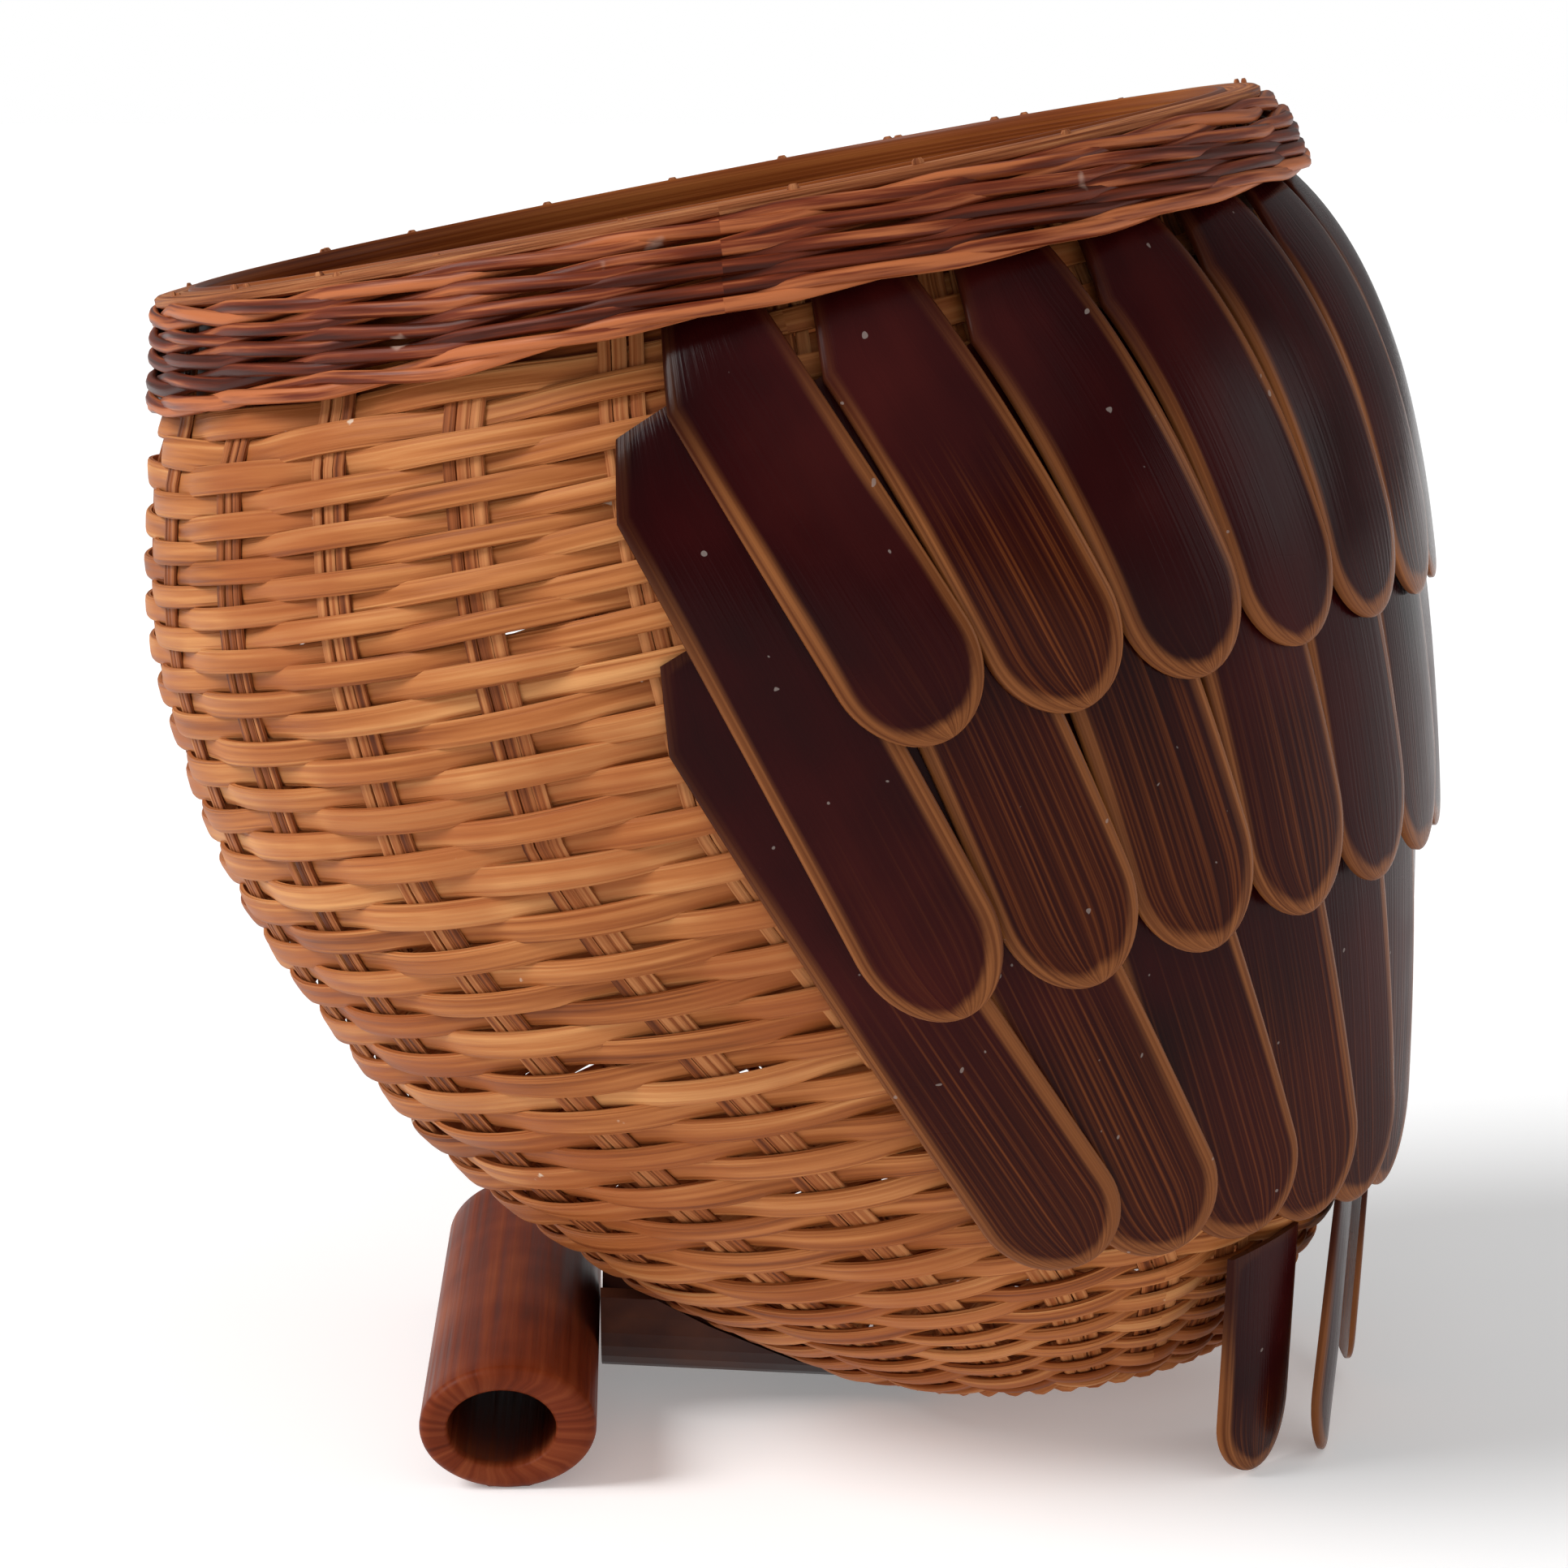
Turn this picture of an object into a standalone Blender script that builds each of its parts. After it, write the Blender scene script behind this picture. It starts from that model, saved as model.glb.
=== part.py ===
"""A wicker planter in the shape of a bird: a leaning rattan basket, three tiers of bamboo slats laid over it
as wings, a fan of slats as a tail, and a bamboo perch with a split-cane keel under the breast.

The bird faces -Y, its left side is +X, and it stands on the floor z = 0. Lengths are in metres.
"""

import math

import bmesh
import bpy
from mathutils import Vector

# The basket wall. Each ring: share of the way up, centre y, centre z, outer radius, forward lean in degrees.
WALL_RINGS = (
    (0.000, 0.0539, 0.011, 0.0415, 7.0),
    (0.060, 0.0499, 0.018, 0.0535, 8.5),
    (0.200, 0.0384, 0.0475, 0.0817, 11.0),
    (0.420, 0.0092, 0.117, 0.1145, 14.0),
    (0.640, -0.0068, 0.1775, 0.1238, 14.0),
    (0.840, -0.0148, 0.2150, 0.1168, 12.5),
    (0.905, -0.0161, 0.2275, 0.1115, 11.8),
    (1.000, -0.0171, 0.2455, 0.1085, 10.8),
)
# How much the breast bulges forward of its rings, where that is most, and the share over which it fades.
BREAST_FULLER, BREAST_SHARE, BREAST_REACH = 0.0045, 0.28, 0.14
WALL_THICKNESS = 0.004
WALL_SHARES = (0.0, 0.06, 0.13, 0.2, 0.3, 0.42, 0.53, 0.64, 0.74, 0.84, 0.905, 1.0)
WALL_WIDEST = max(ring[3] for ring in WALL_RINGS)
ROUND = 48
GAP = 0.0004
SMOOTH_ANGLE = 35.0
SHARE_STEP = 0.004

FLOOR_RADIUS = 0.0375
FLOOR_THICKNESS = 0.0035

# The rim: a twined band outside, a splint hoop inside and a flat cap on top.
# Over the wings the band stands off the wall by a slot that holds the tops of the upper slats.
BAND_BOTTOM, BAND_SEAT_INSIDE, BAND_SEAT = 0.905, 0.955, 0.965
SLOT_BOTTOM, SLOT_TOP = 0.0064, 0.0048
SLOT_ANGLES = (-32.0, -12.0)
BAND_THICKNESS = 0.0028
HOOP_BOTTOM, HOOP_ABOVE_WALL = 0.9, 0.0024
HOOP_THICKNESS = 0.002
CAP_WIDTH, CAP_THICKNESS = 0.0052, 0.0013
CAP_GAP = 0.0007

# Bamboo slats
SLAT_THICKNESS = 0.0013
SLAT_TOP_WIDTH, SLAT_WIDTH = 0.0235, 0.026
SLAT_CUT_ACROSS, SLAT_CUT_ALONG = 0.007, 0.018
SLAT_STRAIGHT_STATIONS = 3
SLAT_TIP_ANGLES = (0.0, 35.0, 60.0, 78.0)
SLAT_COLUMNS = 4
SLAT_ARCHED_BY = 0.625
PATH_STEP = 0.01
SLATS_PER_SIDE = 7

# Wing tiers. Angles run from the bird's left side towards its tail, where 90 is the middle of the back.
# Shares are places up the wall, lifts are gaps between the wall and the slat at its top, middle and tip.
TIERS = {
    "wing_upper": dict(top_share=0.92, tip_share=(0.545, 0.500), top_angle=-3.5, tip_angle=10.4,
                       lifts=(0.0010, 0.0062, 0.0080), crown=0.0004, roll=0.066),
    "wing_middle": dict(top_share=0.832, tip_share=(0.385, 0.355), top_angle=-8.2, tip_angle=6.0,
                        lifts=(0.0006, 0.0039, 0.0078), crown=0.0004, roll=0.075),
    "wing_lower": dict(top_share=0.635, tip_share=(0.22, 0.155), top_angle=-8.2, tip_angle=9.0,
                       lifts=(0.0006, 0.0026, 0.0066), crown=0.0, roll=0.10),
}

# The slat in the middle of a tier lies under both of its neighbours, sunk by this at its top, middle and tip.
MIDDLE_SINK = (0.0, 0.0008, 0.0018)

# Tail slats, from the left one to the middle one: angle of the top on the wall, place of the tip, facing angle.
TAIL_TOP_SHARE = 0.17
TAIL_TOP_LIFT = 0.0016
TAIL_SLATS = (
    (38.0, (0.056, 0.0874, 0.0006), 50.0),
    (61.0, (0.0470, 0.1019, 0.0006), 74.0),
    (90.0, (0.000, 0.1149, 0.004), 90.0),
)
TAIL_WIDTH = 0.025
TAIL_CROWN = 0.001

# The perch: a bamboo tube, wider than high, sawn a little aslant at its ends, with a planed flat to stand on.
PERCH_LENGTH = 0.134
PERCH_Y = -0.0576
PERCH_WIDTH, PERCH_HEIGHT = 0.0342, 0.0258
BORE_WIDTH, BORE_HEIGHT = 0.0212, 0.0162
BORE_SHIFT = -0.0012
PERCH_FLAT_WIDTH = 0.009
PERCH_SLANT = 8.0
PERCH_EDGE = 0.002
PERCH_ROUND = 32

# The keel: half of a split cane, open side up, that cradles the belly from the perch to the basket's foot.
KEEL_RADIUS, KEEL_THICKNESS = 0.027, 0.004
KEEL_FRONT, KEEL_BACK = -0.04, 0.0284
KEEL_FRONT_HEIGHT, KEEL_BACK_HEIGHT = 0.0055, 0.0012
KEEL_HALF_ARC = 78.0
KEEL_COLUMNS = 16
KEEL_CLEARANCE = 0.0005
BELLY_TOP_SHARE = 0.42

COLOURS = {
    "rattan": (0.56, 0.33, 0.14),
    "reed": (0.32, 0.12, 0.055),
    "splint": (0.40, 0.17, 0.05),
    "cane": (0.62, 0.42, 0.20),
    "slat": (0.045, 0.013, 0.012),
    "bamboo": (0.21, 0.075, 0.035),
}
ROUGHNESS = {"rattan": 0.6, "reed": 0.5, "splint": 0.4, "cane": 0.6, "slat": 0.3, "bamboo": 0.45}


def clear_scene():
    for thing in list(bpy.data.objects):
        bpy.data.objects.remove(thing, do_unlink=True)


def material(name):
    found = bpy.data.materials.get(name)
    if found:
        return found
    made = bpy.data.materials.new(name)
    made.use_nodes = True
    shader = made.node_tree.nodes["Principled BSDF"]
    shader.inputs["Base Color"].default_value = (*COLOURS[name], 1.0)
    shader.inputs["Roughness"].default_value = ROUGHNESS[name]
    return made


def add_mesh(name, points, faces, material_name):
    mesh = bpy.data.meshes.new(name)
    mesh.from_pydata([tuple(point) for point in points], [], faces)
    mesh.materials.append(material(material_name))
    mesh.polygons.foreach_set("use_smooth", [True] * len(mesh.polygons))
    mesh.set_sharp_from_angle(angle=math.radians(SMOOTH_ANGLE))
    made = bpy.data.objects.new(name, mesh)
    bpy.context.scene.collection.objects.link(made)
    return made


def slope_at(knots, column, index):
    low, high = max(index - 1, 0), min(index + 1, len(knots) - 1)
    return (knots[high][column] - knots[low][column]) / (knots[high][0] - knots[low][0])


def ring_at(share):
    """(centre y, centre z, radius, lean) of the wall at this share of its height, through WALL_RINGS."""
    index = max(i for i, ring in enumerate(WALL_RINGS[:-1]) if ring[0] <= max(share, 0.0))
    start, end = WALL_RINGS[index], WALL_RINGS[index + 1]
    span = end[0] - start[0]
    t = (share - start[0]) / span
    values = []
    for column in range(1, 5):
        rise = (2 * t**3 - 3 * t**2 + 1) * start[column] + (3 * t**2 - 2 * t**3) * end[column]
        rise += span * (t**3 - 2 * t**2 + t) * slope_at(WALL_RINGS, column, index)
        rise += span * (t**3 - t**2) * slope_at(WALL_RINGS, column, index + 1)
        values.append(rise)
    return values


def breast(share, angle):
    """How far the wall bulges forward of its round ring."""
    fading = max(0.0, 1.0 - ((share - BREAST_SHARE) / BREAST_REACH) ** 2) ** 2
    return BREAST_FULLER * fading * max(0.0, -math.sin(math.radians(angle))) ** 2


def wall_point(share, angle, outward=0.0):
    """A point of the wall's outer surface, moved out from the axis by outward. The angle is in degrees."""
    y, z, radius, lean = ring_at(share)
    radius += breast(share, angle)
    across = (radius + outward) * math.cos(math.radians(angle))
    along = (radius + outward) * math.sin(math.radians(angle))
    lean = math.radians(lean)
    return Vector((across, y + along * math.cos(lean), z + along * math.sin(lean)))


def wall_normal(share, angle):
    low, high = max(share - SHARE_STEP, 0.0), min(share + SHARE_STEP, 1.0)
    upward = wall_point(high, angle) - wall_point(low, angle)
    around = wall_point(share, angle + 1.0) - wall_point(share, angle - 1.0)
    return around.cross(upward).normalized()


def ring_points(place):
    return [place(360.0 * i / ROUND) for i in range(ROUND)]


def loop_of_rings(rings, closed):
    """Points and faces of a surface through the rings; closed joins the last ring to the first."""
    points = [point for ring in rings for point in ring]
    around = len(rings[0])
    faces = []
    for row in range(len(rings) - (not closed)):
        here, there = row * around, (row + 1) % len(rings) * around
        for i in range(around):
            j = (i + 1) % around
            faces.append((here + i, here + j, there + j, there + i))
    return points, faces


def hollow_ring(name, places, material_name):
    """A ring round the basket, from places that give a point for an angle: up outside, down inside."""
    points, faces = loop_of_rings([ring_points(place) for place in places], closed=True)
    return add_mesh(name, points, faces, material_name)


def basket_wall():
    outer = [lambda a, s=s: wall_point(s, a) for s in WALL_SHARES]
    inner = [
        lambda a, s=s: wall_point(s, a) - WALL_THICKNESS * wall_normal(s, a)
        for s in reversed(WALL_SHARES)
    ]
    hollow_ring("basket_wall", outer + inner, "rattan")


def basket_floor():
    y, z, _, lean = ring_at(0.0)
    axis = Vector((0.0, -math.sin(math.radians(lean)), math.cos(math.radians(lean))))
    shrink = FLOOR_RADIUS - ring_at(0.0)[2]
    bottom = ring_points(lambda a: wall_point(0.0, a, shrink))
    top = [point + axis * FLOOR_THICKNESS for point in bottom]
    points, faces = loop_of_rings([bottom, top], closed=False)
    faces.append(tuple(reversed(range(ROUND))))
    faces.append(tuple(range(ROUND, 2 * ROUND)))
    add_mesh("basket_floor", points, faces, "rattan")


def over_wings(angle):
    """1 over the wings and tail, 0 over the breast, smooth between SLOT_ANGLES."""
    from_front = 180.0 - abs((angle + 90.0) % 360.0 - 180.0) - 90.0
    low, high = SLOT_ANGLES
    t = min(1.0, max(0.0, (from_front - low) / (high - low)))
    return t * t * (3.0 - 2.0 * t)


def band_point(share, angle, slot, outward):
    return wall_point(share, angle, max(GAP, slot * over_wings(angle)) + outward)


def rim_band():
    places = [
        lambda a: band_point(BAND_BOTTOM, a, SLOT_BOTTOM, BAND_THICKNESS),
        lambda a: band_point(BAND_SEAT, a, SLOT_TOP, BAND_THICKNESS),
        lambda a: band_point(1.0, a, GAP, BAND_THICKNESS),
        lambda a: band_point(1.0, a, GAP, 0.0),
        lambda a: band_point(BAND_SEAT, a, GAP, 0.0),
        lambda a: band_point(BAND_SEAT_INSIDE, a, SLOT_TOP, 0.0),
        lambda a: band_point(BAND_BOTTOM, a, SLOT_BOTTOM, 0.0),
    ]
    hollow_ring("rim_band", places, "reed")


def rim_hoop():
    outside = -WALL_THICKNESS - GAP
    inside = outside - HOOP_THICKNESS
    places = [
        lambda a: wall_point(HOOP_BOTTOM, a, outside),
        lambda a: wall_point(1.0, a, outside),
        lambda a: above_rim(a, outside, HOOP_ABOVE_WALL),
        lambda a: above_rim(a, inside, HOOP_ABOVE_WALL),
        lambda a: wall_point(1.0, a, inside),
        lambda a: wall_point(HOOP_BOTTOM, a, inside),
    ]
    hollow_ring("rim_hoop", places, "splint")


def above_rim(angle, outward, height):
    lean = math.radians(ring_at(1.0)[3])
    return wall_point(1.0, angle, outward) + height * Vector((0.0, -math.sin(lean), math.cos(lean)))


def rim_cap():
    inside = -WALL_THICKNESS
    outside = inside + CAP_WIDTH
    low, high = CAP_GAP, CAP_GAP + CAP_THICKNESS
    places = [
        lambda a: above_rim(a, outside, low),
        lambda a: above_rim(a, outside, high),
        lambda a: above_rim(a, inside, high),
        lambda a: above_rim(a, inside, low),
    ]
    hollow_ring("rim_cap", places, "cane")


def slat_stations(length, top_width, width, cut):
    """(distance down the slat, front edge, rear edge) from its square top to its round tip."""
    straight = length - width / 2
    downs = [0.0, SLAT_CUT_ALONG]
    step = (straight - SLAT_CUT_ALONG) / SLAT_STRAIGHT_STATIONS
    downs += [SLAT_CUT_ALONG + step * i for i in range(1, SLAT_STRAIGHT_STATIONS)]
    stations = []
    for down in downs:
        half = (top_width + (width - top_width) * down / straight) / 2
        cut_here = cut * max(0.0, 1.0 - down / SLAT_CUT_ALONG)
        stations.append((down, -half + cut_here, half))
    for angle in map(math.radians, SLAT_TIP_ANGLES):
        half = width / 2 * math.cos(angle)
        stations.append((straight + width / 2 * math.sin(angle), -half, half))
    return stations


def curve_through(top, middle, tip, t):
    """A point on the parabola through the three, which it passes at t = 0, 1/2 and 1."""
    return top * (1 - t) * (1 - 2 * t) + middle * 4 * t * (1 - t) + tip * t * (2 * t - 1)


def slat(name, path, normals, top_width, width, cut, crown, roll, mirrored=False):
    """A bamboo slat whose underside follows path, three points, with its face towards normals.

    It is arched by crown and tipped by roll, a slope that lifts its rear edge. Both grow down the slat, and are
    full from SLAT_ARCHED_BY of its length.
    """
    length = (path[0] - path[1]).length + (path[1] - path[2]).length
    stations = slat_stations(length, top_width, width, cut)
    under, upper = [], []
    for down, front, rear in stations:
        t = down / length
        place = curve_through(*path, t)
        along = (curve_through(*path, t + PATH_STEP) - curve_through(*path, t - PATH_STEP)).normalized()
        face = curve_through(*normals, t)
        face = (face - along * face.dot(along)).normalized()
        sideways = face.cross(along)
        grown = min(1.0, t / SLAT_ARCHED_BY)
        for column in range(SLAT_COLUMNS):
            u = front + (rear - front) * column / (SLAT_COLUMNS - 1)
            height = grown * (crown * (1.0 - (2.0 * u / width) ** 2) + roll * u) - wall_drop(u)
            under.append(place + sideways * u + face * height)
            upper.append(place + sideways * u + face * (height + SLAT_THICKNESS))
    points = under + upper
    if mirrored:
        points = [Vector((-point.x, point.y, point.z)) for point in points]
    faces = plate_faces(len(stations), SLAT_COLUMNS)
    if mirrored:
        faces = [tuple(reversed(face)) for face in faces]
    return add_mesh(name, points, faces, "slat")


def wall_drop(u):
    """How far the wall falls away from its tangent plane at u to one side."""
    return u * u / (2 * WALL_WIDEST)


def plate_faces(rows, columns):
    """The faces of a closed plate: its under side is the first rows x columns points, its upper the rest."""
    upper = rows * columns
    faces = []
    for row in range(rows - 1):
        for column in range(columns - 1):
            a = row * columns + column
            quad = (a, a + 1, a + columns + 1, a + columns)
            faces.append(quad)
            faces.append(tuple(upper + i for i in reversed(quad)))
    rim = list(range(columns))
    rim += [row * columns + columns - 1 for row in range(1, rows)]
    rim += [(rows - 1) * columns + column for column in reversed(range(columns - 1))]
    rim += [row * columns for row in reversed(range(1, rows - 1))]
    for here, there in zip(rim, rim[1:] + rim[:1]):
        faces.append((there, here, upper + here, upper + there))
    return faces


def wing_slat(tier_name, index):
    """Slat number index of a tier, counted from the front, on both sides; the last is single, on the back."""
    tier = TIERS[tier_name]
    back = index / SLATS_PER_SIDE
    top_angle = tier["top_angle"] + (90.0 - tier["top_angle"]) * back
    tip_angle = tier["tip_angle"] + (90.0 - tier["tip_angle"]) * back
    front_share, back_share = tier["tip_share"]
    tip_share = front_share + (back_share - front_share) * back
    shares = (tier["top_share"], (tier["top_share"] + tip_share) / 2, tip_share)
    angles = (top_angle, (top_angle + tip_angle) / 2, tip_angle)
    normals = [wall_normal(share, angle) for share, angle in zip(shares, angles)]
    sinks = MIDDLE_SINK if index == SLATS_PER_SIDE else (0.0, 0.0, 0.0)
    path = [
        wall_point(share, angle) + normal * (lift - sink)
        for share, angle, normal, lift, sink in zip(shares, angles, normals, tier["lifts"], sinks)
    ]
    shape = dict(top_width=SLAT_TOP_WIDTH, width=SLAT_WIDTH, cut=SLAT_CUT_ACROSS, crown=tier["crown"])
    if index == SLATS_PER_SIDE:
        slat(f"{tier_name}_middle", path, normals, roll=0.0, **shape)
        return
    slat(f"{tier_name}_left_{index + 1}", path, normals, roll=tier["roll"], **shape)
    slat(f"{tier_name}_right_{index + 1}", path, normals, roll=tier["roll"], mirrored=True, **shape)


def tail_slat(index):
    top_angle, tip, facing = TAIL_SLATS[index]
    top = wall_point(TAIL_TOP_SHARE, top_angle) + TAIL_TOP_LIFT * wall_normal(TAIL_TOP_SHARE, top_angle)
    tip = Vector(tip)
    face = Vector((math.cos(math.radians(facing)), math.sin(math.radians(facing)), 0.0))
    path = (top, (top + tip) / 2, tip)
    shape = dict(top_width=TAIL_WIDTH, width=TAIL_WIDTH, cut=0.0, crown=TAIL_CROWN, roll=0.0)
    if tip.x == 0.0:
        slat("tail_middle", path, (face,) * 3, **shape)
        return
    slat(f"tail_left_{index + 1}", path, (face,) * 3, **shape)
    slat(f"tail_right_{index + 1}", path, (face,) * 3, mirrored=True, **shape)


def oval(x, width, height, shift, flat, slant):
    """A ring of the perch at x: an oval on the floor, cut level at its foot, and sawn aslant."""
    points = []
    for i in range(PERCH_ROUND):
        angle = 2 * math.pi * (i + 0.5) / PERCH_ROUND
        y = width / 2 * math.cos(angle)
        z = height / 2 * math.sin(angle)
        if flat and abs(y) < PERCH_FLAT_WIDTH / 2 and z < 0:
            z = -height / 2
        slanted = x + math.tan(math.radians(slant)) * z
        points.append(Vector((slanted, PERCH_Y + shift + y, PERCH_HEIGHT / 2 + z)))
    return points


def perch():
    end = PERCH_LENGTH / 2 - PERCH_HEIGHT / 2 * math.tan(math.radians(PERCH_SLANT))
    outer = (PERCH_WIDTH, PERCH_HEIGHT, 0.0, True)
    eased = (PERCH_WIDTH - PERCH_EDGE, PERCH_HEIGHT - PERCH_EDGE, 0.0, False)
    bore = (BORE_WIDTH, BORE_HEIGHT, BORE_SHIFT, False)
    rings = [
        oval(-end + PERCH_EDGE, *outer, -PERCH_SLANT),
        oval(end - PERCH_EDGE, *outer, PERCH_SLANT),
        oval(end, *eased, PERCH_SLANT),
        oval(end, *bore, PERCH_SLANT),
        oval(-end, *bore, -PERCH_SLANT),
        oval(-end, *eased, -PERCH_SLANT),
    ]
    points, faces = loop_of_rings(rings, closed=True)
    add_mesh("perch", points, faces, "bamboo")


def keel_row(y, height, radius):
    angles = [math.radians(KEEL_HALF_ARC * (2 * i / KEEL_COLUMNS - 1)) for i in range(KEEL_COLUMNS + 1)]
    centre = height + KEEL_RADIUS
    return [Vector((radius * math.sin(angle), y, centre - radius * math.cos(angle))) for angle in angles]


def belly_clearance():
    """The basket's outline, a little enlarged, as a solid that trims the keel."""
    shares = [share for share in WALL_SHARES if share <= BELLY_TOP_SHARE]
    rings = [
        ring_points(lambda a, s=s: wall_point(s, a) + KEEL_CLEARANCE * wall_normal(s, a))
        for s in shares
    ]
    points, faces = loop_of_rings(rings, closed=False)
    faces.append(tuple(reversed(range(ROUND))))
    faces.append(tuple(range(len(points) - ROUND, len(points))))
    made = add_mesh("belly_clearance", points, faces, "rattan")
    made.hide_render = True
    made.display_type = "WIRE"
    return made


def keel():
    inner = KEEL_RADIUS - KEEL_THICKNESS
    under = keel_row(KEEL_FRONT, KEEL_FRONT_HEIGHT, KEEL_RADIUS)
    under += keel_row(KEEL_BACK, KEEL_BACK_HEIGHT, KEEL_RADIUS)
    upper = keel_row(KEEL_FRONT, KEEL_FRONT_HEIGHT, inner) + keel_row(KEEL_BACK, KEEL_BACK_HEIGHT, inner)
    faces = [tuple(reversed(face)) for face in plate_faces(2, KEEL_COLUMNS + 1)]
    made = add_mesh("keel", under + upper, faces, "slat")
    face_out(made)
    trim = made.modifiers.new("trim", "BOOLEAN")
    trim.operation = "DIFFERENCE"
    trim.solver = "EXACT"
    trim.object = belly_clearance()


def face_out(thing):
    shape = bmesh.new()
    shape.from_mesh(thing.data)
    bmesh.ops.recalc_face_normals(shape, faces=shape.faces)
    shape.to_mesh(thing.data)
    shape.free()


def build():
    clear_scene()
    basket_wall()
    basket_floor()
    rim_band()
    rim_hoop()
    rim_cap()
    for tier_name in TIERS:
        for index in range(SLATS_PER_SIDE + 1):
            wing_slat(tier_name, index)
    for index in range(len(TAIL_SLATS)):
        tail_slat(index)
    perch()
    keel()


build()
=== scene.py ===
import math

import bpy
import numpy as np
from mathutils import Matrix, Vector


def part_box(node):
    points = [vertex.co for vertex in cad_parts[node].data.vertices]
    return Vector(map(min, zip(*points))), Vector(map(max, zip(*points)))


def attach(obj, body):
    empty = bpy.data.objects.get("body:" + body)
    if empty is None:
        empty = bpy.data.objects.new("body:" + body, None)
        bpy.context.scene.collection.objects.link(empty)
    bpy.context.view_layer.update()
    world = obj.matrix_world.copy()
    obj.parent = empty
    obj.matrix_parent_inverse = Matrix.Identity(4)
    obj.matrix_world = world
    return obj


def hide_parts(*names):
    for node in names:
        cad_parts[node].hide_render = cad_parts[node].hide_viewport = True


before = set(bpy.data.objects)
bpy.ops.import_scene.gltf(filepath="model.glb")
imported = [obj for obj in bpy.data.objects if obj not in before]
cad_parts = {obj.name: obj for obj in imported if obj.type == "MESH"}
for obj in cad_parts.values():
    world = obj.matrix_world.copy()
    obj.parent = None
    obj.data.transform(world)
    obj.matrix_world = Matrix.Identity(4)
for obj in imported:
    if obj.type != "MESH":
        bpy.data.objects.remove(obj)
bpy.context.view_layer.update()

# Looks for the wicker bird planter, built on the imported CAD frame. The bird faces -Y, its left side is +X.
# Lengths are in metres, angles round the basket in degrees: 0 is the left side, 90 the tail, -90 the breast.

SEED = 11

# The basket wall: share of the way up, centre y, centre z, outer radius, forward lean in degrees
WALL_RINGS = np.array((
    (0.000, 0.0539, 0.011, 0.0415, 7.0),
    (0.060, 0.0499, 0.018, 0.0535, 8.5),
    (0.200, 0.0384, 0.0475, 0.0817, 11.0),
    (0.420, 0.0092, 0.117, 0.1145, 14.0),
    (0.640, -0.0068, 0.1775, 0.1238, 14.0),
    (0.840, -0.0148, 0.2150, 0.1168, 12.5),
    (0.905, -0.0161, 0.2275, 0.1115, 11.8),
    (1.000, -0.0171, 0.2455, 0.1085, 10.8),
))
WALL_WIDEST = WALL_RINGS[:, 3].max()
# How much the breast bulges forward of its rings, where that is most, and the share over which it fades
BREAST_FULLER, BREAST_SHARE, BREAST_REACH = 0.0045, 0.28, 0.14
WALL_MIDDLE = -0.002
NORMAL_SHARE_STEP = 0.004

# Stakes, and the wefts that pass over one and under the next
STAKES = 24
STAKE_PITCH = 360.0 / STAKES
FIRST_STAKE = 5.2
STAKE_STRIPS = 3
STRIP_WIDTH, STRIP_THICKNESS, STRIP_SPACING = 0.0027, 0.0011, 0.003
STAKE_DRIFT = 8.0
DRIFT_SHARES = (0.52, 0.34)
WEFT_REFERENCE = 0.541
# The pitch of the wefts, as shares, grows from the low one to the high one between these shares of the wall
WEFT_PITCH_HIGH, WEFT_PITCH_LOW = 0.0222, 0.0137
PITCH_GROWS = (0.36, 0.84)
WEFT_SHARES = (0.012, 0.9)
WEFT_THICKNESS = 0.0015
WEFT_SWING = 0.00125
WEFT_FILL = 1.08
WEFT_SQUARENESS = 3.4
WEFT_CRISPNESS = 0.8
WEFT_SIDES, STRIP_SIDES = 12, 8
STEPS_PER_STAKE = 10
# Unevenness of the wefts: of height and width as shares of their own, and of tilt in degrees
WEFT_UNEVEN, WEFT_UNEVEN_WIDTH = 0.05, 0.035
WEFT_TILT, WEFT_TILT_WANDER = 3.0, 4.0
STRIP_SCATTER = 0.0002
STRIP_WIDTHS = (0.9, 1.05)
STRIP_STATIONS = 60

# Foot and floor
FOOT_SHARE, FOOT_STEP = 0.004, 2.5
FOOT_SWING_UP, FOOT_SWING_OUT = 0.006, 0.0009
FOOT_REED_RADIUS = 0.0013
ROUND_SECTION = 2.0
FLOOR_LIFT = 0.0017
FLOOR_RINGS, FLOOR_STEPS_PER_SPOKE = 8, 4
FLOOR_FIRST_RING, FLOOR_LAST_GAP = 1.2, 0.7
FLOOR_SWING, FLOOR_HALF_THICK = 0.00075, 0.0006
FLOOR_FILL = 0.98
SPOKE_REACH, SPOKE_STATIONS = 0.99, 12
SPOKE_HALF_WIDTH, SPOKE_HALF_THICK = 0.0016, 0.0004

# Rim
BAND_ROWS = 5
BAND_SHARES = (0.912, 0.988)
BAND_BOTTOM, BAND_SEAT = 0.905, 0.965
SLOT_BOTTOM, SLOT_TOP = 0.0064, 0.0048
SLOT_ANGLES = (-32.0, -12.0)
REED_RADIUS = 0.00128
TWINE_OUT, TWINE_UP = 0.0009, 0.00112
TWINE_POINTED = 0.97
TWINE_STEPS = 12
REED_WIDER, REED_THINNER, REED_SQUARENESS = 1.08, 0.92, 2.2
ROW_WANDER, REED_WANDER = 0.0016, 0.05
BAND_MIDDLE = 0.0014
GAP = 0.0004
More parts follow.
